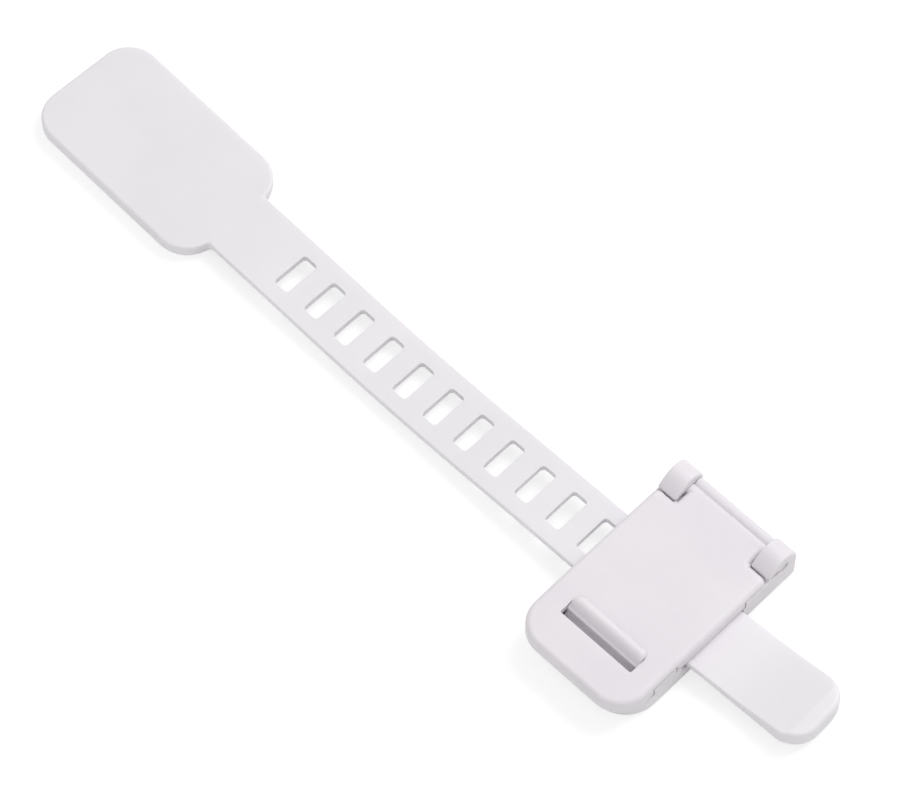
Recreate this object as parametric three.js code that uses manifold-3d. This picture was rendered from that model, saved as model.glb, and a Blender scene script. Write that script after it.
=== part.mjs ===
// Adhesive strap lock: a perforated strap with an anchor pad, held in a hinged flip-lid buckle.
// Millimetres, +Z up, +X along the strap from the pad to the pull tail, +Y towards the hinge.
// The origin is on the bonding surface, under the middle of the buckle's length, on the strap's centreline.
import * as THREE from 'three';
import { mergeVertices } from 'three/addons/utils/BufferGeometryUtils.js';
import Module from 'manifold-3d';

// Adhesive foam
const tapeThickness = 1.0;
const tapeInset = 0.8;

// Strap: band and holes
const strapWidth = 14.8;
const strapThickness = 1.5;
const strapEdgeRadius = 0.35;
const holePitch = 8.0;
const holeCount = 14;
const holeLength = 8.2;
const holeWidth = 3.6;
const holeCornerRadius = 0.8;
const firstHoleFromPad = 16.7;
const bandSag = 0.7;
const bowRadius = 3000;
const bowCentre = -25.5;
const tailSwing = 1.0;

// Strap: anchor pad
const padLength = 45.6;
const padWidth = 27.0;
const padThickness = 3.0;
const padFarRadius = 6.9;
const padNearRadius = 6.9;
const padNeckFillet = 0.9;
const padEdgeRadius = 0.8;

// Strap: pull tail, measured from the end of the buckle
const tailLength = 25.6;
const tailCornerRadius = 5.0;
const tailDish = 0.5;
const lipLength = 3.1;
const lipTopRise = 1.0;
const lipThickness = 4.1;
const lipEdgeRadius = 1.0;

// Base tray
const buckleLength = 27.8;
const baseFront = 23.2;
const baseBack = 22.0;
const baseCornerRadius = 7.2;
const baseBackRadius = 0.4;
const baseHeight = 4.0;
const wallThickness = 1.6;
const pocketFloor = 1.6;
const channelFloor = 2.3;
const channelClearance = 0.4;
const strapLift = 0.05;
const sideWallHeight = 6.0;
const mouthRadius = 1.0;

// Pegs that fill the strap's holes
const pegCount = 3;
const pegClearance = 0.35;
const pegRise = 1.1;
const pegCornerRadius = 0.6;
const lastPegFromEnd = 5.4;

// Lid
const lidGap = 0.25;
const lidSkirt = 3.25;
const lidPlate = 1.8;
const lidWall = 1.5;
const lidOverhang = 1.7;
const lidCornerRadius = 6.3;
const lidEdgeRadius = 1.1;
const lidSideInset = 0.15;
const flapFront = 9.8;
const flapBack = 8.1;
const flapFrontGap = 0.5;
const flapBackGap = 0.3;
const notchCornerRadius = 0.6;
const holdRibThickness = 1.2;
const holdRibLength = 13.0;
const holdRibClearance = 0.3;

// Hinge
const hingeInset = 3.8;
const hingeDrop = 1.25;
const pinRadius = 1.25;
const pinClearance = 0.1;
const hookWidth = 4.5;
const hookSideClearance = 0.3;
const hookTopWall = 2.1;
const hookEdgeRadius = 0.4;
const hookTipReach = 4.0;
const hookTipGap = 0.3;
const mouthGap = 0.3;
const beadRadius = 1.2;
const beadOffset = 2.0;
const beadClearance = 0.3;

// Latch: slot in the lid and sprung catch
const slotLength = 17.6;
const slotWidth = 4.0;
const slotFromHinge = 31.4;
const slotCornerRadius = 0.4;
const catchSideClearance = 0.4;
const catchClearance = 0.3;
const catchThickness = 1.6;
const catchOverhang = 1.0;
const catchHeadHeight = 1.0;
const catchRootGap = 0.15;
const catchEndRadius = 0.9;

// Heights that follow
const bottom = tapeThickness;
const floorTop = bottom + channelFloor;
const pocketTop = bottom + pocketFloor;
const rimTop = bottom + baseHeight;
const sideTop = bottom + sideWallHeight;
const skirtBottom = rimTop + lidGap;
const lidTop = skirtBottom + lidSkirt;
const lidUnder = lidTop - lidPlate;
const padTop = bottom + padThickness;
const channelBottom = floorTop + strapLift;
const channelTop = channelBottom + strapThickness;
const hingeZ = lidTop - hingeDrop;
const hingeY = baseBack - hingeInset;

// Places along the strap that follow
const halfLength = buckleLength / 2;
const channelHalf = strapWidth / 2 + channelClearance;
const tailEnd = halfLength + tailLength;
const lastHole = halfLength - lastPegFromEnd;
const firstHole = lastHole - (holeCount - 1) * holePitch;
const padNear = firstHole - firstHoleFromPad;
const padFar = padNear - padLength;

const wasm = await Module();
wasm.setup();

// A closed three.js geometry as a solid that can be joined and cut
function solid(geometry) {
  const plain = geometry.clone();
  plain.deleteAttribute('normal');
  plain.deleteAttribute('uv');
  const merged = mergeVertices(plain, 1e-5);
  return new wasm.Manifold(new wasm.Mesh({
    numProp: 3,
    vertProperties: new Float32Array(merged.attributes.position.array),
    triVerts: new Uint32Array(merged.index.array),
  }));
}

// The solid as a mesh with its own material
function piece(name, body, colour, roughness) {
  const { vertProperties, triVerts } = body.getMesh();
  const geometry = new THREE.BufferGeometry();
  geometry.setAttribute('position', new THREE.BufferAttribute(new Float32Array(vertProperties), 3));
  geometry.setIndex(new THREE.BufferAttribute(new Uint32Array(triVerts), 1));
  geometry.computeVertexNormals();
  const material = new THREE.MeshStandardMaterial({ color: colour, roughness, metalness: 0 });
  const mesh = new THREE.Mesh(geometry, material);
  mesh.name = name;
  return mesh;
}

// A closed outline through corners [x, y, radius], each rounded by its own radius
function outline(corners) {
  const shape = new THREE.Shape();
  corners.forEach(([x, y, radius], i) => {
    const here = new THREE.Vector2(x, y);
    const [px, py] = corners[(i + corners.length - 1) % corners.length];
    const [nx, ny] = corners[(i + 1) % corners.length];
    const back = new THREE.Vector2(px, py).sub(here).normalize();
    const on = new THREE.Vector2(nx, ny).sub(here).normalize();
    const half = back.angleTo(on) / 2;
    const reach = radius > 0 ? radius / Math.tan(half) : 0;
    const start = here.clone().addScaledVector(back, reach);
    if (i === 0) shape.moveTo(start.x, start.y); else shape.lineTo(start.x, start.y);
    if (radius > 0) {
      const middle = back.clone().add(on).normalize();
      const centre = here.clone().addScaledVector(middle, radius / Math.sin(half));
      const end = here.clone().addScaledVector(on, reach);
      const from = Math.atan2(start.y - centre.y, start.x - centre.x);
      const to = Math.atan2(end.y - centre.y, end.x - centre.x);
      shape.absarc(centre.x, centre.y, radius, from, to, back.cross(on) > 0);
    }
  });
  shape.closePath();
  return shape;
}

const rectangle = (x0, x1, y0, y1, radius = 0) =>
  outline([[x0, y0, radius], [x1, y0, radius], [x1, y1, radius], [x0, y1, radius]]);

// An outline in plan raised from z0 to z1
function raised(shape, z0, z1, curveSegments = 10) {
  const geometry = new THREE.ExtrudeGeometry(shape, { depth: z1 - z0, bevelEnabled: false, curveSegments });
  return solid(geometry.translate(0, 0, z0));
}

// The same with its upper edge rounded
function domed(shape, z0, z1, radius, curveSegments = 10) {
  const geometry = new THREE.ExtrudeGeometry(shape, {
    depth: z1 - z0, bevelEnabled: true, bevelThickness: radius, bevelSize: radius,
    bevelOffset: -radius, bevelSegments: 4, curveSegments,
  });
  const whole = solid(geometry.translate(0, 0, z0 - radius));
  const below = box(-500, 500, -500, 500, z0 - 2 * radius - 1, z0);
  return whole.subtract(below);
}

// A profile in the YZ plane run along X from x0 to x1, with its end edges rounded by edge
function along(shape, x0, x1, curveSegments = 10, edge = 0) {
  const geometry = new THREE.ExtrudeGeometry(shape, {
    depth: x1 - x0 - 2 * edge, bevelEnabled: edge > 0, bevelThickness: edge, bevelSize: edge,
    bevelOffset: -edge, bevelSegments: 3, curveSegments,
  });
  const turn = new THREE.Matrix4().set(0, 0, 1, x0 + edge, 1, 0, 0, 0, 0, 1, 0, 0, 0, 0, 0, 1);
  return solid(geometry.applyMatrix4(turn));
}

function box(x0, x1, y0, y1, z0, z1) {
  const geometry = new THREE.BoxGeometry(x1 - x0, y1 - y0, z1 - z0);
  return solid(geometry.translate((x0 + x1) / 2, (y0 + y1) / 2, (z0 + z1) / 2));
}

function rod(x0, x1, y, z, radius, sides = 28) {
  const geometry = new THREE.CylinderGeometry(radius, radius, x1 - x0, sides);
  return solid(geometry.rotateZ(Math.PI / 2).translate((x0 + x1) / 2, y, z));
}

// Strap

// The strap lies in a slight bow in plan, and its tail swings out a little more.
// A place along and across the strap becomes a place in the model.
function bowed(x, y) {
  const t = Math.max(0, (x - halfLength) / tailLength);
  const swing = tailSwing * t * (2 - t);
  const swingSlope = t > 0 ? 2 * tailSwing * (1 - t) / tailLength : 0;
  const turn = Math.atan((x - bowCentre) / bowRadius + swingSlope);
  const middle = ((x - bowCentre) ** 2 - bowCentre ** 2) / (2 * bowRadius) + swing;
  return [x - y * Math.sin(turn), middle + y * Math.cos(turn)];
}

const bowedOutline = (corners) => outline(corners.map(([x, y, radius]) => [...bowed(x, y), radius]));

// Half width of the strap in plan at each station, from the pad's far end to the tail's end
function stations() {
  const list = [];
  const padHalf = padWidth / 2;
  const half = strapWidth / 2;
  const quarter = 9;
  const add = (x, w) => list.push([x, w]);
  for (let i = 0; i <= quarter; i++) {
    const a = (i / quarter) * Math.PI / 2;
    add(padFar + padFarRadius * (1 - Math.cos(a)), padHalf - padFarRadius * (1 - Math.sin(a)));
  }
  const neckStart = Math.asin(Math.min(1, (half + padNeckFillet - padHalf + padNearRadius)
    / (padNearRadius + padNeckFillet)));
  const neckX = padNear - padNearRadius + (padNearRadius + padNeckFillet) * Math.cos(neckStart);
  for (let i = 0; i <= quarter; i++) {
    const a = Math.PI / 2 - (i / quarter) * (Math.PI / 2 - neckStart);
    add(padNear - padNearRadius * (1 - Math.cos(a)), padHalf - padNearRadius * (1 - Math.sin(a)));
  }
  for (let i = 1; i <= 4; i++) {
    const a = neckStart * (1 - i / 4) - (Math.PI / 2) * (i / 4);
    add(neckX - padNeckFillet * Math.cos(a), half + padNeckFillet * (1 + Math.sin(a)));
  }
  const bandStart = neckX;
  const bandEnd = -halfLength;
  const bandSteps = 26;
  for (let i = 1; i <= bandSteps; i++) add(bandStart + (bandEnd - bandStart) * i / bandSteps, half);
  add(halfLength, half);
  const tailSteps = 10;
  const straight = tailEnd - tailCornerRadius;
  for (let i = 1; i <= tailSteps; i++) add(halfLength + (straight - halfLength) * i / tailSteps, half);
  for (let i = 1; i <= quarter; i++) {
    const a = (i / quarter) * Math.PI / 2;
    add(straight + tailCornerRadius * Math.sin(a), half - tailCornerRadius * (1 - Math.cos(a)));
  }
  return list;
}

const smooth = (t) => { const s = Math.min(1, Math.max(0, t)); return s * s * (3 - 2 * s); };
const mix = (a, b, t) => a + (b - a) * t;

// Height of the top face: level on the pad, a shallow sag, level in the buckle, a dish, then the lip
function topAt(x) {
  const leave = padNear + 4;
  const enter = -halfLength;
  if (x <= leave) return padTop;
  if (x <= enter) {
    const t = (x - leave) / (enter - leave);
    return mix(padTop, channelTop, smooth(t)) - bandSag * 2 * Math.sin(Math.PI * t) ** 2 * (1 - t * 0.35);
  }
  if (x <= halfLength) return channelTop;
  const lipStart = tailEnd - lipLength;
  const t = (x - halfLength) / (lipStart - halfLength);
  if (x < lipStart) return channelTop - tailDish * Math.sin(Math.PI * Math.min(1, t * 1.15)) ** 2
    + lipTopRise * smooth((t - 0.62) / 0.38) ** 1.5;
  return channelTop + lipTopRise;
}

// Thickness: the pad, the even band, then growing into the lip
function thicknessAt(x) {
  const blend = firstHoleFromPad * 0.06;
  if (x <= padNear) return padThickness;
  if (x <= padNear + blend) return mix(padThickness, strapThickness, smooth((x - padNear) / blend));
  if (x <= halfLength) return strapThickness;
  const t = (x - halfLength) / (tailEnd - lipLength - halfLength);
  return mix(strapThickness, lipThickness, Math.min(1, t) ** 2.2);
}

// Section across the strap: a rectangle with rounded edges, as points in the YZ plane
function section(half, low, high, radius) {
  const points = [];
  const r = Math.min(radius, half, (high - low) * 0.45);
  const steps = 3;
  [[1, low, -90], [1, high, 0], [-1, high, 90], [-1, low, 180]].forEach(([side, z, start]) => {
    const up = z === high ? 1 : -1;
    for (let i = 0; i <= steps; i++) {
      const a = THREE.MathUtils.degToRad(start + 90 * i / steps);
      points.push([side * (half - r) + r * Math.cos(a), z - up * r + r * Math.sin(a)]);
    }
  });
  return points;
}

// A skin through sections along the strap, closed by a flat cap at each end
function loft(sections) {
  const count = sections[0].ring.length;
  const positions = [];
  const index = [];
  sections.forEach(({ x, ring }) => ring.forEach(([y, z]) => positions.push(...bowed(x, y), z)));
  for (let s = 0; s + 1 < sections.length; s++) {
    for (let i = 0; i < count; i++) {
      const j = (i + 1) % count;
      const [a, b, c, d] = [s * count + i, s * count + j, (s + 1) * count + i, (s + 1) * count + j];
      index.push(a, b, d, a, d, c);
    }
  }
  const cap = (s, flip) => {
    for (let i = 1; i + 1 < count; i++) {
      const tri = [s * count, s * count + i + 1, s * count + i];
      index.push(...(flip ? tri.reverse() : tri));
    }
  };
  cap(0, false);
  cap(sections.length - 1, true);
  const geometry = new THREE.BufferGeometry();
  geometry.setAttribute('position', new THREE.Float32BufferAttribute(positions, 3));
  geometry.setIndex(index);
  return solid(geometry);
}

function makeStrap() {
  const sections = stations().map(([x, half]) => {
    const onPad = x <= padNear;
    const radius = onPad ? padEdgeRadius : x > tailEnd - lipLength ? lipEdgeRadius : strapEdgeRadius;
    const fromEnd = Math.min(x - padFar, tailEnd - x);
    const endRadius = x < 0 ? padEdgeRadius : lipEdgeRadius;
    const dip = endRadius - Math.sqrt(Math.max(0, endRadius ** 2 - Math.max(0, endRadius - fromEnd) ** 2));
    const high = topAt(x);
    return { x, ring: section(half, high - thicknessAt(x), high - dip, radius) };
  });
  let strap = loft(sections);
  for (let i = 0; i < holeCount; i++) {
    const x = firstHole + i * holePitch;
    const hole = bowedOutline([[-1, -1], [1, -1], [1, 1], [-1, 1]].map(([a, b]) =>
      [x + a * holeWidth / 2, b * holeLength / 2, holeCornerRadius]));
    strap = strap.subtract(raised(hole, -20, 20, 4));
  }
  return strap;
}

// Base

const pegPlaces = Array.from({ length: pegCount }, (_, i) => lastHole - i * holePitch);
const hookInner = halfLength - hookWidth;
const notchHalf = hookInner - hookSideClearance;
const notchY = hingeY - hookTipReach - hookTipGap;
const slotBack = hingeY - slotFromHinge;
const slotFront = slotBack - slotWidth;
const catchBack = slotBack - catchClearance;
const catchMiddle = catchBack - catchThickness / 2;
const catchPivotZ = pocketTop + catchThickness / 2;
const beadRoom = hingeY + Math.sqrt((beadOffset + beadRadius + beadClearance) ** 2 - (hingeZ - rimTop) ** 2);
const sideWallFront = -baseFront + baseCornerRadius;

const baseOutline = (inset) => outline([
  [-halfLength + inset, -baseFront + inset, baseCornerRadius - inset],
  [halfLength - inset, -baseFront + inset, baseCornerRadius - inset],
  [halfLength - inset, baseBack - inset, baseBackRadius],
  [-halfLength + inset, baseBack - inset, baseBackRadius],
]);

// Side view of a hook: a block with a round nose that reaches over the pin
function hookProfile() {
  const crown = pinRadius + pinClearance + hookTopWall;
  const tip = hingeY - hookTipReach;
  const shape = new THREE.Shape();
  shape.moveTo(tip, bottom);
  shape.lineTo(baseBack, bottom);
  shape.lineTo(baseBack, hingeZ - 0.85);
  shape.splineThru([
    [hingeInset * 0.955, crown * 0.20], [hingeInset * 0.78, crown * 0.61], [hingeInset * 0.45, crown * 0.90],
    [0.05, crown], [-1.35, crown * 0.90], [-2.75, crown * 0.63], [-hookTipReach + 0.15, crown * 0.32],
  ].map(([y, z]) => new THREE.Vector2(hingeY + y, hingeZ + z)));
  shape.lineTo(tip, hingeZ + 0.85);
  shape.closePath();
  return shape;
}

// The way in for the pin: a narrow slit at the front that widens to the bore
function mouthProfile() {
  const tip = hingeY - hookTipReach;
  const bore = pinRadius + pinClearance;
  const shape = new THREE.Shape();
  const high = hingeZ + 0.75;
  shape.moveTo(tip - 1, high);
  shape.lineTo(tip + 0.1, high);
  shape.lineTo(hingeY - bore * 0.9, high + 0.1);
  shape.lineTo(hingeY - bore * 0.6, high);
  shape.lineTo(hingeY - bore * 0.6, hingeZ - bore * 0.65);
  shape.lineTo(hingeY - bore * 1.2, hingeZ - bore * 0.65);
  shape.lineTo(tip + 0.1, high - mouthGap);
  shape.lineTo(tip - 1, high - mouthGap);
  shape.closePath();
  return shape;
}

function makeBase() {
  let base = raised(baseOutline(0), bottom, rimTop);
  const inner = halfLength - wallThickness;
  const guide = channelHalf + wallThickness;
  const frontPocket = outline([
    [-inner, -baseFront + wallThickness, baseCornerRadius - wallThickness],
    [inner, -baseFront + wallThickness, baseCornerRadius - wallThickness],
    [inner, -guide, 0.5], [-inner, -guide, 0.5],
  ]);
  const shoulder = hingeY - hookTipReach - wallThickness;
  const backPocket = outline([
    [-inner, guide, 0.5], [inner, guide, 0.5], [inner, shoulder, 0.5], [hookInner, shoulder, 0],
    [hookInner, beadRoom, 0.5], [-hookInner, beadRoom, 0.5],
    [-hookInner, shoulder, 0], [-inner, shoulder, 0.5],
  ]);
  const end = halfLength + 1;
  const channel = outline([
    [-end, -channelHalf - mouthRadius, 0], [-halfLength, -channelHalf - mouthRadius, 0],
    [-halfLength + mouthRadius, -channelHalf, 0], [halfLength - mouthRadius, -channelHalf, 0],
    [halfLength, -channelHalf - mouthRadius, 0], [end, -channelHalf - mouthRadius, 0],
    [end, channelHalf, 0], [-end, channelHalf, 0],
  ]);
  base = base.subtract(raised(frontPocket, pocketTop, rimTop + 1));
  base = base.subtract(raised(backPocket, pocketTop, rimTop + 1));
  base = base.subtract(raised(channel, floorTop, rimTop + 1));
  for (const x of pegPlaces) {
    const a = holeWidth / 2 - pegClearance;
    const b = holeLength / 2 - pegClearance;
    base = base.add(domed(rectangle(x - a, x + a, -b, b, pegCornerRadius),
      floorTop, channelTop + pegRise, pegCornerRadius * 0.8, 4));
  }
  const bore = pinRadius + pinClearance;
  for (const side of [-1, 1]) {
    const [x0, x1] = [side * hookInner, side * halfLength].sort((a, b) => a - b);
    let hook = along(hookProfile(), x0, x1, 4, hookEdgeRadius);
    hook = hook.subtract(rod(x0 - 1, x1 + 1, hingeY, hingeZ, bore));
    hook = hook.subtract(along(mouthProfile(), x0 - 1, x1 + 1));
    base = base.add(hook);
  }
  for (const side of [-1, 1]) {
    const [x0, x1] = [side * inner, side * halfLength].sort((a, b) => a - b);
    base = base.add(box(x0, x1, sideWallFront, -flapFront - flapFrontGap, rimTop - 0.5, sideTop));
    base = base.add(box(x0, x1, flapBack + flapBackGap, hingeY - hookTipReach + 1, rimTop - 0.5, sideTop));
  }
  const rootHalf = slotLength / 2 + 0.6;
  const rootReach = catchThickness / 2 + catchRootGap + wallThickness / 2;
  const seat = box(-rootHalf, rootHalf, catchMiddle - rootReach, catchMiddle + rootReach,
    pocketTop - 0.2, catchPivotZ + 0.1);
  const groove = rod(-rootHalf - 1, rootHalf + 1, catchMiddle, catchPivotZ, catchThickness / 2 + catchRootGap);
  return base.add(seat).subtract(groove);
}

// Lid

function makeLid() {
  const front = -baseFront - lidOverhang;
  const beadY = hingeY + beadOffset;
  const half = halfLength - lidSideInset;
  const plan = outline([
    [-half, front, lidCornerRadius], [half, front, lidCornerRadius],
    [half, notchY, lidEdgeRadius + 0.1], [notchHalf, notchY, notchCornerRadius],
    [notchHalf, beadY - beadRadius * 0.7, lidEdgeRadius + 0.1],
    [-notchHalf, beadY - beadRadius * 0.7, lidEdgeRadius + 0.1],
    [-notchHalf, notchY, notchCornerRadius], [-half, notchY, lidEdgeRadius + 0.1],
  ]);
  let lid = domed(plan, skirtBottom, lidTop, lidEdgeRadius);
  const inner = halfLength - lidWall;
  const hollow = outline([
    [-inner, front + lidWall, lidCornerRadius - lidWall], [inner, front + lidWall, lidCornerRadius - lidWall],
    [inner, notchY - lidWall, 0.5], [-inner, notchY - lidWall, 0.5],
  ]);
  lid = lid.subtract(raised(hollow, skirtBottom - 1, lidUnder));
  lid = lid.subtract(box(-notchHalf + 1.2, notchHalf - 1.2, 0, baseBack, skirtBottom - 1, lidUnder));
  const sideRib = box(-notchHalf - 1, notchHalf + 1, notchY + 0.01, baseBack, skirtBottom - 1, lidUnder);
  lid = lid.subtract(sideRib);
  for (const side of [-1, 1]) {
    const [x0, x1] = [side * (inner - lidGap), side * (halfLength + 1)].sort((a, b) => a - b);
    const over = sideTop + lidGap;
    lid = lid.subtract(box(x0, x1, sideWallFront - lidGap, -flapFront, skirtBottom - 1, over));
    lid = lid.subtract(box(x0, x1, flapBack, notchY + 1, skirtBottom - 1, over));
  }
  const pinEnd = halfLength - 0.3;
  lid = lid.add(rod(-pinEnd, pinEnd, hingeY, hingeZ, pinRadius));
  const beadZ = lidTop - beadRadius;
  lid = lid.add(rod(-notchHalf, notchHalf, beadY, beadZ, beadRadius));
  const ribs = pegPlaces.slice(0, -1).map((x) => x - holePitch / 2);
  for (const x of ribs) {
    lid = lid.add(box(x - holdRibThickness / 2, x + holdRibThickness / 2, -holdRibLength / 2,
      holdRibLength / 2, channelTop + holdRibClearance, lidUnder + 0.5));
  }
  const slot = rectangle(-slotLength / 2, slotLength / 2, slotFront, slotBack, slotCornerRadius);
  return lid.subtract(raised(slot, skirtBottom - 1, lidTop + 1, 4));
}

// Catch: a tongue that rises through the slot and hooks over its hinge-side edge

function makeCatch() {
  const y0 = catchBack;
  const y1 = catchBack - catchThickness;
  const under = lidTop + catchClearance;
  const top = under + catchHeadHeight;
  const root = catchThickness / 2;
  const shape = new THREE.Shape();
  shape.moveTo(y0, catchPivotZ);
  shape.lineTo(y0, under);
  shape.lineTo(slotBack + catchOverhang, under);
  shape.splineThru([
    new THREE.Vector2(slotBack + catchOverhang - 0.05, under + 0.2),
    new THREE.Vector2(slotBack + catchOverhang * 0.55, under + catchHeadHeight * 0.6),
    new THREE.Vector2(slotBack - 0.1, top), new THREE.Vector2(slotBack - 0.75, top - 0.2),
    new THREE.Vector2(y0 - 0.85, under - 0.05), new THREE.Vector2(y1 + 0.25, under - 0.85),
    new THREE.Vector2(y1 - 0.3, under - 1.3),
  ]);
  shape.lineTo(y1 - 0.45, under - 1.6);
  shape.lineTo(y1, under - 2.1);
  shape.lineTo(y1, catchPivotZ);
  shape.absarc(catchMiddle, catchPivotZ, root, Math.PI, 2 * Math.PI, false);
  const half = slotLength / 2 - catchSideClearance;
  const body = along(shape, -half, half, 5);
  const ends = outline([
    [-half, catchPivotZ - 2, 0], [half, catchPivotZ - 2, 0],
    [half, top + 0.05, catchEndRadius], [-half, top + 0.05, catchEndRadius],
  ]);
  const screen = new THREE.ExtrudeGeometry(ends, { depth: 40, bevelEnabled: false, curveSegments: 5 });
  return body.intersect(solid(screen.rotateX(Math.PI / 2)));
}

// Adhesive foam

const padOutline = (inset) => bowedOutline([
  [padFar + inset, -padWidth / 2 + inset, padFarRadius - inset],
  [padNear - inset, -padWidth / 2 + inset, padNearRadius - inset],
  [padNear - inset, padWidth / 2 - inset, padNearRadius - inset],
  [padFar + inset, padWidth / 2 - inset, padFarRadius - inset],
]);

// Assembly

const plastic = 0xe6e3e8;
const foam = 0xf0efee;
const lock = new THREE.Group();
lock.add(
  piece('strap', makeStrap(), plastic, 0.42),
  piece('base', makeBase(), plastic, 0.45),
  piece('lid', makeLid(), plastic, 0.45),
  piece('catch', makeCatch(), plastic, 0.45),
  piece('pad_foam', raised(padOutline(tapeInset), 0, tapeThickness), foam, 0.9),
  piece('base_foam', raised(baseOutline(tapeInset), 0, tapeThickness), foam, 0.9),
);

export default lock;
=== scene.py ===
import math

import bpy
import numpy as np
from mathutils import Matrix, Vector


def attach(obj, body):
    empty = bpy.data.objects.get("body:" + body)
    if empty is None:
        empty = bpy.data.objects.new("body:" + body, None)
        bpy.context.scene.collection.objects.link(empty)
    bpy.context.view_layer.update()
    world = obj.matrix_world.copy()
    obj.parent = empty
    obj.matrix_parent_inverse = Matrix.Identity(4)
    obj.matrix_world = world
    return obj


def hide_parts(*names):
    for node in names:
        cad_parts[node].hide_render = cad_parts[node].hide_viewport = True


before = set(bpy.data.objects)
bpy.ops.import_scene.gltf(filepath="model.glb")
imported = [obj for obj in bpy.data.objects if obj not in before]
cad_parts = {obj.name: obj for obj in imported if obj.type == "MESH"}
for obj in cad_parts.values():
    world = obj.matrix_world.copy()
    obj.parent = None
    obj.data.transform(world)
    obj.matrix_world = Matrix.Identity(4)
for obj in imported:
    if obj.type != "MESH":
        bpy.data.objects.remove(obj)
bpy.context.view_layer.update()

MM = 0.001


# Shader maths: an expression on values adds its Math nodes

def add_node(tree, kind, values, **settings):
    """A node of that kind: its settings first, then the values or links of its sockets by name or number."""
    node = tree.nodes.new(kind)
    for name, setting in settings.items():
        setattr(node, name, setting)
    for key, value in values.items():
        if isinstance(value, Value):
            value = value.socket
        if isinstance(value, bpy.types.NodeSocket):
            tree.links.new(value, node.inputs[key])
        else:
            node.inputs[key].default_value = value
    return node


class Value:
    """A number socket with the arithmetic that the finishes use."""

    def __init__(self, tree, socket):
        self.tree, self.socket = tree, socket

    def _math(self, operation, other):
        """operation(self, other) as one Math node."""
        node = add_node(self.tree, "ShaderNodeMath", {0: self, 1: other}, operation=operation)
        return Value(self.tree, node.outputs[0])

    def __add__(self, other): return self._math("ADD", other)
    __radd__ = __add__
    def __mul__(self, other): return self._math("MULTIPLY", other)
    __rmul__ = __mul__
    def __sub__(self, other): return self._math("SUBTRACT", other)
    def __rsub__(self, other): return self * -1.0 + other

    def between(self, low, high):
        """0 at low, 1 at high, eased at both ends."""
        node = add_node(self.tree, "ShaderNodeMapRange", {"Value": self, "From Min": low, "From Max": high},
                        interpolation_type="SMOOTHSTEP")
        return Value(self.tree, node.outputs["Result"])


class Finish:
    """A material under construction: its nodes and its output."""

    MIX_FIRST, MIX_SECOND, MIX_RESULT = 6, 7, 2

    def __init__(self, name):
        self.material = bpy.data.materials.new(name)
        self.material.use_nodes = True
        self.tree = self.material.node_tree
        self.tree.nodes.clear()
        self.out = self.node("ShaderNodeOutputMaterial", {})
        self.place = self.node("ShaderNodeTexCoord", {}).outputs["Object"]

    def node(self, kind, values, **settings):
        """A node of this material."""
        return add_node(self.tree, kind, values, **settings)

    def noise(self, size, detail, roughness=0.5):
        """Cloudy noise whose features are about size metres across, 0 to 1."""
        node = self.node("ShaderNodeTexNoise", {"Vector": self.place, "Scale": 1.0 / size,
                                                "Detail": detail, "Roughness": roughness})
        return Value(self.tree, node.outputs["Fac"])

    def mix(self, amount, first, second):
        """The colour first where amount is 0 and second where it is 1."""
        node = self.node("ShaderNodeMix", {"Factor": amount, self.MIX_FIRST: first, self.MIX_SECOND: second},
                         data_type="RGBA")
        return node.outputs[self.MIX_RESULT]

    def bump(self, height, distance):
        """A normal that height raises by at most distance metres."""
        node = self.node("ShaderNodeBump", {"Height": height, "Distance": distance, "Strength": 1.0})
        return node.outputs["Normal"]

    def surface(self, shader):
        """Makes shader the material's surface."""
        self.tree.links.new(shader.outputs[0], self.out.inputs["Surface"])
        return self.material


def srgb(red, green, blue):
    """A colour written in 0 to 255 as the linear colour that shaders take."""
    def linear(c):
        c /= 255.0
        return c / 12.92 if c <= 0.04045 else ((c + 0.055) / 1.055) ** 2.4
    return (linear(red), linear(green), linear(blue), 1.0)


def grey(level):
    """The linear grey of that level."""
    return (level, level, level, 1.0)


# Finishes: sizes and depths of their patterns in metres

CLOUD, WAVE, GLOSS_PATCH, SPECK, GRAIN, FOAM_CELL = 0.018, 0.009, 0.0035, 0.0011, 0.0004, 0.00035
GRAIN_DEPTH, CELL_DEPTH, GLOW_DEPTH = 0.000009, 0.00003, 0.0012


def moulded_plastic(name, light, deep, roughness):
    """Off-white moulding: faint cloudy tint, a fine spark-eroded grain and slightly uneven gloss."""
    f = Finish(name)
    cloud = f.noise(CLOUD, 3.0)
    speck = f.noise(SPECK, 2.0)
    tint = f.mix(cloud.between(0.3, 0.7) * 0.75 + speck * 0.25, light, deep)
    gloss = roughness + (f.noise(GLOSS_PATCH, 3.0) - 0.5) * 0.16 + (cloud - 0.5) * 0.1
    fine = f.noise(GRAIN, 3.0, 0.65)
    waves = f.noise(WAVE, 1.0)
    normal = f.bump(fine + waves * 1.2, GRAIN_DEPTH)
    return f.surface(f.node("ShaderNodeBsdfPrincipled", {
        "Base Color": tint, "Roughness": gloss, "Normal": normal, "IOR": 1.5, "Subsurface Weight": 0.35,
        "Subsurface Radius": (1.0, 0.92, 0.95), "Subsurface Scale": GLOW_DEPTH}))


def foam_tape(name, light, deep):
    """Closed-cell foam: small round cells that show as pits on its cut edge, with painted shade that darkens
    each pit towards its middle.
    """
    f = Finish(name)
    cells = f.node("ShaderNodeTexVoronoi", {"Vector": f.place, "Scale": 1.0 / FOAM_CELL})
    depth = Value(f.tree, cells.outputs["Distance"])
    # painted shade: the colour runs from deep at the middle of each pit to light at its rim
    tint = f.mix(depth.between(0.1, 0.6), deep, light)
    normal = f.bump(depth, CELL_DEPTH)
    return f.surface(f.node("ShaderNodeBsdfPrincipled", {
        "Base Color": tint, "Roughness": 0.9, "Normal": normal}))


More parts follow.
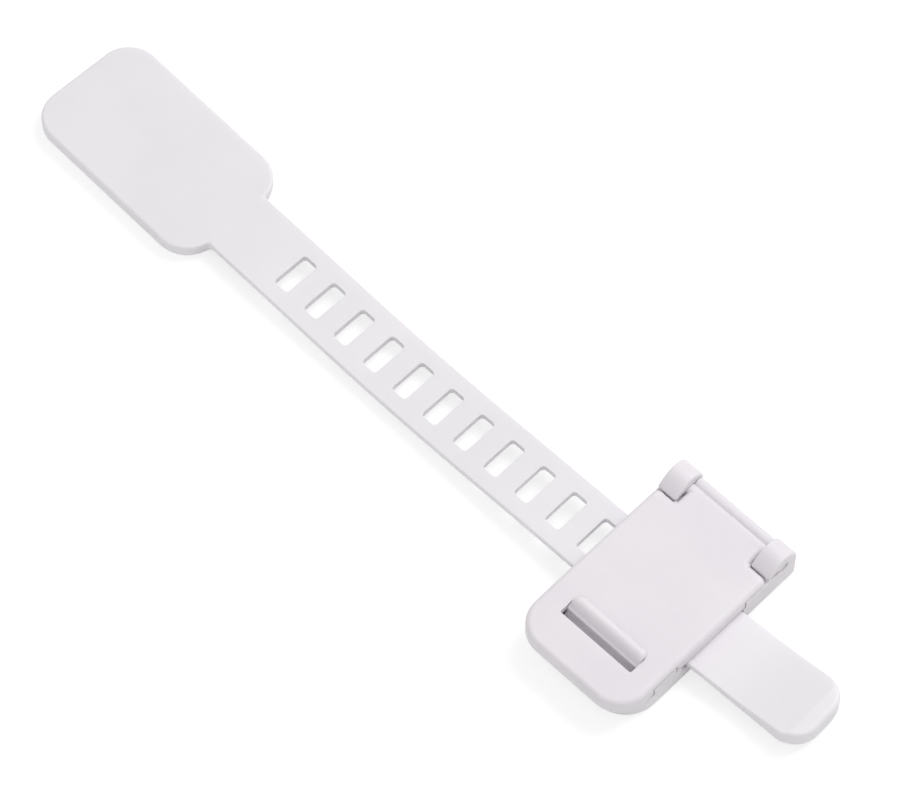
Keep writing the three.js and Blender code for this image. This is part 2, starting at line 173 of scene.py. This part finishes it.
strap_finish = moulded_plastic("strap_moulding", srgb(240, 237, 241), srgb(236, 233, 237), 0.42)
buckle_finish = moulded_plastic("buckle_moulding", srgb(237, 233, 237), srgb(232, 228, 233), 0.46)
# foam tape: the light colour is its own white, and the deep colour is painted shade for the middles of its
# pits
foam_finish = foam_tape("foam_tape", srgb(246, 245, 244), srgb(228, 226, 225))


# Making pieces: lengths in mm until a mesh is made, angles in degrees

WELD, FLAT_ANGLE = 0.002, 0.6
SHARP_ANGLE, EDGE_STEPS, FLAT_WEIGHT = 34, 3, 80


def place_object(name, data):
    """An object at the origin that holds the data."""
    o = bpy.data.objects.new(name, data)
    bpy.context.scene.collection.objects.link(o)
    return o


def new_piece(name, points, faces):
    """An object at the origin from points in mm and its faces."""
    mesh = bpy.data.meshes.new(name)
    mesh.from_pydata((np.asarray(points) * MM).tolist(), [], faces)
    return place_object(name, mesh)


def skin(sections, first):
    """The faces of a closed tube through sections, an array of stations by points around by 3. Two points
    beside each other and the same two of the next section make a quad, which starts at its corner
    number first, and one face closes each end."""
    stations, around = sections.shape[:2]
    i, j = np.meshgrid(np.arange(stations - 1), np.arange(around), indexing="ij")
    k = (j + 1) % around
    corners = [i * around + j, (i + 1) * around + j, (i + 1) * around + k, i * around + k]
    quads = np.stack(corners[first:] + corners[:first], axis=2).reshape(-1, 4)
    ends = [list(range(around)), list(range((stations - 1) * around, stations * around))[::-1]]
    return quads.tolist() + ends


def eased(t):
    """0 below 0, 1 above 1, and 3t^2 - 2t^3 between."""
    t = np.clip(t, 0, 1)
    return t * t * (3 - 2 * t)


def soften(o, finish, edge, flatten):
    """Gives a piece its finish and rounds its sharp edges by edge mm. Where flatten is true, its loose
    faces are joined first, and the triangles of each flat face become one."""
    o.data.materials.clear()
    o.data.materials.append(finish)
    o.data.shade_smooth()
    if flatten:
        weld = o.modifiers.new("weld", "WELD")
        weld.merge_threshold = WELD * MM
        flats = o.modifiers.new("flats", "DECIMATE")
        flats.decimate_type = "DISSOLVE"
        flats.angle_limit = math.radians(FLAT_ANGLE)
    if edge:
        bevel = o.modifiers.new("edges", "BEVEL")
        bevel.width = edge * MM
        bevel.segments = EDGE_STEPS
        bevel.limit_method = "ANGLE"
        bevel.angle_limit = math.radians(SHARP_ANGLE)
        bevel.miter_outer = "MITER_ARC"
        bevel.use_clamp_overlap = True
        normals = o.modifiers.new("normals", "WEIGHTED_NORMAL")
        normals.weight = FLAT_WEIGHT


# Catch: the ridge that the fingertip pushes, seen from the side as y and z, in mm

CATCH_HALF, ROUND_LEFT, ROUND_RIGHT = 8.7, 1.7, 0.9
EVEN_LEFT, EVEN_RIGHT = -6.0, 6.6
CATCH_HEART = np.array([-14.1, 8.3])
RIDGE_FOOT, RIDGE_GROWTH = 7.4, 1.2
TONGUE_DRAW, RIDGE_DRAW, RIGHT_DRAW = 0.07, 0.68, 0.7
CATCH_SIDE = np.array([
    (-13.5, 3.4), (-13.5, 6.0), (-13.5, 7.9), (-13.42, 8.5), (-12.9, 8.61), (-12.2, 8.6), (-12.03, 8.69),
    (-12.12, 8.92), (-12.42, 9.3), (-12.75, 9.68), (-13.15, 9.86), (-13.6, 9.84), (-14.05, 9.6),
    (-14.45, 9.16), (-14.8, 8.62), (-15.08, 8.16), (-15.34, 7.92), (-15.5, 7.7), (-15.46, 7.4), (-15.44, 7.0),
    (-15.6, 6.3), (-16.0, 5.9), (-16.4, 5.7), (-16.52, 5.55), (-16.4, 5.42), (-15.5, 5.4), (-15.16, 5.2),
    (-15.1, 4.6), (-15.1, 3.4), (-14.87, 2.84), (-14.3, 2.6), (-13.73, 2.84),
])


def closed_curve(corners, steps):
    """A smooth closed curve through the corners: between two of them, steps points of the cubic whose
    slope at each corner is half the way from the corner before it to the corner after it."""
    before, here, after, later = (np.roll(corners, k, axis=0)[:, None, :] for k in (1, 0, -1, -2))
    t = (np.arange(steps) / steps)[None, :, None]
    curve = here + 0.5 * t * ((after - before) + t * ((2 * before - 5 * here + 4 * after - later)
                                                      + t * (3 * (here - after) + later - before)))
    return curve.reshape(-1, 2)


def build_catch():
    """The side curve carried along x. At an end that is r long, where a station lies r(1 - cos a) inside it,
    the curve draws in towards the ridge's heart by 1 - sin a of a share: a small one for the tongue,
    which grows with the height to a large one for the ridge, so that the ridge ends in a dome."""
    side = closed_curve(CATCH_SIDE, 4)
    a = np.linspace(0, math.pi / 2, 9)
    even = np.linspace(EVEN_LEFT, EVEN_RIGHT, 12)[1:-1]
    x = np.concatenate([-CATCH_HALF + ROUND_LEFT * (1 - np.cos(a)), even,
                        (CATCH_HALF - ROUND_RIGHT * (1 - np.cos(a)))[::-1]])
    drawn = np.concatenate([1 - np.sin(a), np.zeros(even.shape), RIGHT_DRAW * (1 - np.sin(a))[::-1]])
    draw = TONGUE_DRAW + RIDGE_DRAW * eased((side[:, 1] - RIDGE_FOOT) / RIDGE_GROWTH)
    share = 1 - drawn[:, None] * draw[None, :]
    loop = CATCH_HEART + (side - CATCH_HEART)[None, :, :] * share[..., None]
    points = np.concatenate([np.broadcast_to(x[:, None, None], loop.shape[:2] + (1,)), loop], axis=2)
    catch = new_piece("catch_ridge", points.reshape(-1, 3), skin(points, 0))
    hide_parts("catch")
    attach(catch, "catch")
    return catch


# Strap: pad, perforated band and pull tail, lofted through sections as the solid strap is, but finer, in mm

PAD_FAR, PAD_NEAR, PAD_HALF, PAD_ROUND = -157.8, -112.2, 13.5, 6.9
BAND_HALF, NECK_FILLET, TAIL_ROUND = 7.4, 0.9, 5.0
BUCKLE_END, TAIL_END = 13.9, 39.5
TAIL_LENGTH = TAIL_END - BUCKLE_END
LIP_START = TAIL_END - 3.1
BOW_MIDDLE, BOW_RADIUS, TAIL_SWING = -25.5, 3000.0, 1.0
PAD_TOP, BUCKLE_TOP, SHOULDER = 4.0, 4.85, 4.0
BAND_SAG, SAG_LEAN = 1.4, 0.35
DISH_DEPTH, DISH_PACE, LIP_RISE, RISE_START = 0.5, 1.15, 1.0, 0.62
PAD_THICK, BAND_THICK, LIP_THICK, LIP_POWER = 3.0, 1.5, 4.1, 2.2
PAD_DROP, TAIL_DROP = 0.8, 1.0
PAD_EDGE, BAND_EDGE, LIP_EDGE, LIP_BLEND, EDGE_LIMIT = 0.8, 0.35, 1.0, 1.5, 0.45
FIRST_HOLE, HOLE_PITCH, HOLE_COUNT = -95.5, 8.0, 14
HOLE_HALF, HOLE_ROUND = np.array([1.8, 4.1]), 0.8
CUT_HEIGHTS = (-1.0, 9.0)


def bowed(x, y):
    """A place along and across the strap, seen in plan: the middle line is a parabola of 3 m radius, the
    tail swings 1 mm further, and the place across is turned by the slope of that line."""
    t = np.clip((x - BUCKLE_END) / TAIL_LENGTH, 0, None)
    swing = np.where(t > 0, 2 * TAIL_SWING * (1 - t) / TAIL_LENGTH, 0)
    turn = np.arctan((x - BOW_MIDDLE) / BOW_RADIUS + swing)
    middle = ((x - BOW_MIDDLE) ** 2 - BOW_MIDDLE ** 2) / (2 * BOW_RADIUS) + TAIL_SWING * t * (2 - t)
    return x - y * np.sin(turn), middle + y * np.cos(turn)


def strap_stations():
    """Places along the strap and the half width there: quarter circles at the pad's corners, a fillet
    into the band, the even band, and a quarter circle on the tail."""
    quarter = np.linspace(0, math.pi / 2, 19)
    neck_angle = math.asin((BAND_HALF + NECK_FILLET - PAD_HALF + PAD_ROUND) / (PAD_ROUND + NECK_FILLET))
    neck = PAD_NEAR - PAD_ROUND + (PAD_ROUND + NECK_FILLET) * math.cos(neck_angle)
    near = np.linspace(math.pi / 2, neck_angle, 17)
    fillet = np.linspace(neck_angle, -math.pi / 2, 8)[2:]
    runs = ((neck, -BUCKLE_END, 92), (-BUCKLE_END, BUCKLE_END, 12), (BUCKLE_END, TAIL_END - TAIL_ROUND, 33))
    band = np.concatenate([np.linspace(start, end, count)[1:] for start, end, count in runs])
    tip = np.unique(np.append(quarter[1:], math.asin((LIP_START - TAIL_END + TAIL_ROUND) / TAIL_ROUND)))
    x = np.concatenate([
        PAD_FAR + PAD_ROUND * (1 - np.cos(quarter)), PAD_NEAR - PAD_ROUND * (1 - np.cos(near)),
        neck - NECK_FILLET * np.cos(fillet), band, TAIL_END - TAIL_ROUND * (1 - np.sin(tip))])
    half = np.concatenate([
        PAD_HALF - PAD_ROUND * (1 - np.sin(quarter)), PAD_HALF - PAD_ROUND * (1 - np.sin(near)),
        BAND_HALF + NECK_FILLET * (1 + np.sin(fillet)), np.full(band.shape, BAND_HALF),
        BAND_HALF - TAIL_ROUND * (1 - np.cos(tip))])
    return x, half


def tail_share(x):
    """The share of the way along the tail: 0 up to the buckle's end and 1 from the start of the lip."""
    return np.clip((x - BUCKLE_END) / (LIP_START - BUCKLE_END), 0, 1)


def strap_top(x):
    """Height of the top: level on the pad, a shallow sag, level in the buckle, a dish, then a rise that
    grows as the square of the way until the lip breaks off level, which leaves a crease."""
    s = np.clip((x - PAD_NEAR - SHOULDER) / (-BUCKLE_END - PAD_NEAR - SHOULDER), 0, 1)
    sag = BAND_SAG * np.sin(math.pi * s) ** 2 * (1 - s * SAG_LEAN)
    u = tail_share(x)
    dish = DISH_DEPTH * np.sin(math.pi * np.minimum(1, u * DISH_PACE)) ** 2
    rise = LIP_RISE * np.clip((u - RISE_START) / (1 - RISE_START), 0, 1) ** 2
    return PAD_TOP + (BUCKLE_TOP - PAD_TOP) * eased(s) - sag - dish + rise


def build_strap():
    """Sections carried along the strap: rectangles with round edges. The thickness eases from the pad's to
    the band's and grows to the lip's with a power of the way. Towards each end the top drops on a
    quarter circle. The holes are rounded prisms cut out of that."""
    x, half = strap_stations()
    on_band = eased(x - PAD_NEAR)
    thick = (PAD_THICK - (PAD_THICK - BAND_THICK) * on_band
             + (LIP_THICK - BAND_THICK) * tail_share(x) ** LIP_POWER)
    drop = np.where(x < 0, PAD_DROP, TAIL_DROP)
    inside = np.clip(drop - np.minimum(x - PAD_FAR, TAIL_END - x), 0, None)
    dip = drop - np.sqrt(np.clip(drop ** 2 - inside ** 2, 0, None))
    low, high = strap_top(x) - thick, strap_top(x) - dip
    edge = (PAD_EDGE - (PAD_EDGE - BAND_EDGE) * on_band
            + (LIP_EDGE - BAND_EDGE) * eased((x - LIP_START + LIP_BLEND) / LIP_BLEND))
    edge = np.minimum(edge, (high - low) * EDGE_LIMIT)
    turn = np.radians(np.linspace(0, 90, 6))
    rounds = []
    for side, level, inward, start in (
        (1, low, 1, -90), (1, high, -1, 0), (-1, high, -1, 90), (-1, low, 1, 180),
    ):
        a = (turn + math.radians(start))[None, :]
        rounds.append(np.stack([side * (half - edge)[:, None] + edge[:, None] * np.cos(a),
                                (level + inward * edge)[:, None] + edge[:, None] * np.sin(a)], axis=2))
    right_low, right_high, left_high, left_low = rounds
    across = np.linspace(0, 1, 9)[1:-1][None, :, None]
    top = right_high[:, -1:] * (1 - across) + left_high[:, :1] * across
    under = left_low[:, -1:] * (1 - across) + right_low[:, :1] * across
    ring = np.concatenate([right_low, right_high, top, left_high, left_low, under], axis=1)
    px, py = bowed(x[:, None], ring[..., 0])
    points = np.stack([px, py, ring[..., 1]], axis=2)
    strap = new_piece("strap_moulding", points.reshape(-1, 3), skin(points, 1))
    cut(strap, hole_cutters())
    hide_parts("strap")
    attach(strap, "base")
    return strap


def hole_cutters():
    """One rounded prism for each hole: a rectangle whose corners are quarter circles, set along the bow."""
    a = np.radians(np.linspace(0, 90, 8))
    outline = np.concatenate([
        np.stack([sx * (HOLE_HALF[0] - HOLE_ROUND) + HOLE_ROUND * np.cos(a + start),
                  sy * (HOLE_HALF[1] - HOLE_ROUND) + HOLE_ROUND * np.sin(a + start)], axis=1)
        for sx, sy, start in ((1, 1, 0), (-1, 1, math.pi / 2), (-1, -1, math.pi), (1, -1, 1.5 * math.pi))])
    n = len(outline)
    k = np.arange(n)
    points, faces = [], []
    for hole in range(HOLE_COUNT):
        px, py = bowed(FIRST_HOLE + hole * HOLE_PITCH + outline[:, 0], outline[:, 1])
        first = 2 * n * hole
        points += [np.stack([px, py, np.full(n, z)], axis=1) for z in CUT_HEIGHTS]
        faces += (first + np.stack([k, (k + 1) % n, (k + 1) % n + n, k + n], axis=1)).tolist()
        faces += [(first + k[::-1]).tolist(), (first + n + k).tolist()]
    return new_piece("hole_cutters", np.concatenate(points), faces)


def cut(piece, cutter):
    """Takes the cutter's solids out of the piece's mesh, and removes the cutter."""
    boolean = piece.modifiers.new("cut", "BOOLEAN")
    boolean.operation, boolean.solver, boolean.object = "DIFFERENCE", "EXACT", cutter
    drawn = piece.evaluated_get(bpy.context.evaluated_depsgraph_get())
    mesh = bpy.data.meshes.new_from_object(drawn)
    piece.modifiers.clear()
    piece.data = mesh
    bpy.data.objects.remove(cutter)


# Lid: the solid lid with its corner notches drawn close to the hooks, as a fitted moulding has them, in mm

NOTCH_SIDE, NOTCH_FRONT, NOTCH_ROUND, NOTCH_FIT = 9.1, 13.9, 0.6, 0.2
NOTCH_REACH = 0.02


def build_lid():
    """A copy of the lid. A wall point of a notch moves NOTCH_FIT towards the hook: outwards in x on the
    side wall, backwards in y on the front wall, and both ways on the rounded corner between them."""
    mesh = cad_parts["lid"].data.copy()
    points = np.empty(len(mesh.vertices) * 3)
    mesh.vertices.foreach_get("co", points)
    points = points.reshape(-1, 3) / MM
    x, y = np.abs(points[:, 0]), points[:, 1]
    notch = (x > NOTCH_SIDE - NOTCH_REACH) & (y > NOTCH_FRONT - NOTCH_REACH)
    side_wall = notch & (x < NOTCH_SIDE + NOTCH_ROUND + NOTCH_REACH)
    front_wall = notch & (y < NOTCH_FRONT + NOTCH_ROUND + NOTCH_REACH)
    points[:, 0] += np.sign(points[:, 0]) * NOTCH_FIT * side_wall
    points[:, 1] += NOTCH_FIT * front_wall
    mesh.vertices.foreach_set("co", (points * MM).ravel())
    mesh.update()
    lid = place_object("lid_moulding", mesh)
    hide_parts("lid")
    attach(lid, "lid")
    return lid


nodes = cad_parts
for piece, finish, edge, flatten in (
    (build_strap(), strap_finish, 0.1, False), (nodes["base"], buckle_finish, 0.15, True),
    (build_lid(), buckle_finish, 0.15, True), (build_catch(), buckle_finish, 0, False),
    (nodes["pad_foam"], foam_finish, 0.05, True), (nodes["base_foam"], foam_finish, 0.05, True),
):
    soften(piece, finish, edge, flatten)


# Floor and light: the floor in mm, the lamps in metres, degrees and watts

FLOOR_HALF = 1500
FLOOR_PAPER, FLOOR_SHADE, FLOOR_GLOW, WORLD_GLOW = 0.8, 0.5, 0.635, 0.59
LIT_PLACE = Vector((-0.05, 0.0, 0.0))


def build_floor():
    """A pale floor that lights the object as plain white paper would. To the camera and in reflections
    it is white, and keeps a softened share of the object's shadow."""
    r = FLOOR_HALF
    floor = new_piece("floor", [(-r, -r, 0), (r, -r, 0), (r, r, 0), (-r, r, 0)], [(0, 1, 2, 3)])
    f = Finish("floor_white")
    paper = f.node("ShaderNodeBsdfDiffuse", {"Color": grey(FLOOR_PAPER)})
    shaded = f.node("ShaderNodeBsdfDiffuse", {"Color": grey(FLOOR_SHADE)})
    glow = f.node("ShaderNodeEmission", {"Color": grey(1.0), "Strength": FLOOR_GLOW})
    both = f.node("ShaderNodeAddShader", {0: shaded.outputs[0], 1: glow.outputs[0]})
    path = f.node("ShaderNodeLightPath", {})
    seen = (Value(f.tree, path.outputs["Is Camera Ray"]) + Value(f.tree, path.outputs["Is Glossy Ray"])
            + Value(f.tree, path.outputs["Is Transmission Ray"]))
    mix = f.node("ShaderNodeMixShader", {"Fac": seen, 1: paper.outputs[0], 2: both.outputs[0]})
    floor.data.materials.append(f.surface(mix))


def softbox(name, azimuth, elevation, distance, side, power):
    """A square lamp at a bearing from the lit place, facing it. Azimuth 0 is +X and 90 is +Y."""
    a, e = math.radians(azimuth), math.radians(elevation)
    out = Vector((math.cos(a) * math.cos(e), math.sin(a) * math.cos(e), math.sin(e)))
    lamp = bpy.data.lights.new(name, "AREA")
    lamp.shape = "RECTANGLE"
    lamp.size = lamp.size_y = side
    lamp.energy = power
    o = place_object(name, lamp)
    o.location = LIT_PLACE + out * distance
    o.rotation_euler = out.to_track_quat("Z", "Y").to_euler()


build_floor()
softbox("key", azimuth=78, elevation=52, distance=0.9, side=0.5, power=3.6)
softbox("fill", azimuth=-75, elevation=42, distance=1.2, side=1.0, power=1.5)

world = bpy.data.worlds.new("studio")
bpy.context.scene.world = world
world.use_nodes = True
backdrop = world.node_tree.nodes["Background"]
backdrop.inputs["Color"].default_value = grey(1.0)
backdrop.inputs["Strength"].default_value = WORLD_GLOW


# Camera: fitted to the photograph's frame

IMAGE_WIDTH, FOCAL_PIXELS, SENSOR = 900, 4582.7, 36.0
AZIMUTH, ELEVATION, ROLL = (math.radians(a) for a in (44.485, 61.509, -0.018))
DISTANCE = 0.864
AIM = Vector((-0.0573, 0.00365, 0.0))

back = Vector((math.sin(AZIMUTH) * math.cos(ELEVATION), -math.cos(AZIMUTH) * math.cos(ELEVATION),
               math.sin(ELEVATION)))
level = Vector((math.cos(AZIMUTH), math.sin(AZIMUTH), 0.0))
upright = back.cross(level)
right = level * math.cos(ROLL) + upright * math.sin(ROLL)
up = upright * math.cos(ROLL) - level * math.sin(ROLL)
turned = Matrix((right, up, back)).transposed().to_4x4()
lens = bpy.data.cameras.new("camera")
lens.sensor_fit = "HORIZONTAL"
lens.sensor_width = SENSOR
lens.lens = FOCAL_PIXELS / IMAGE_WIDTH * SENSOR
lens.clip_start, lens.clip_end = 0.05, 10.0
camera = place_object("camera", lens)
camera.matrix_world = Matrix.Translation(AIM + back * DISTANCE) @ turned
bpy.context.scene.camera = camera
bpy.context.scene.view_settings.view_transform = "Standard"
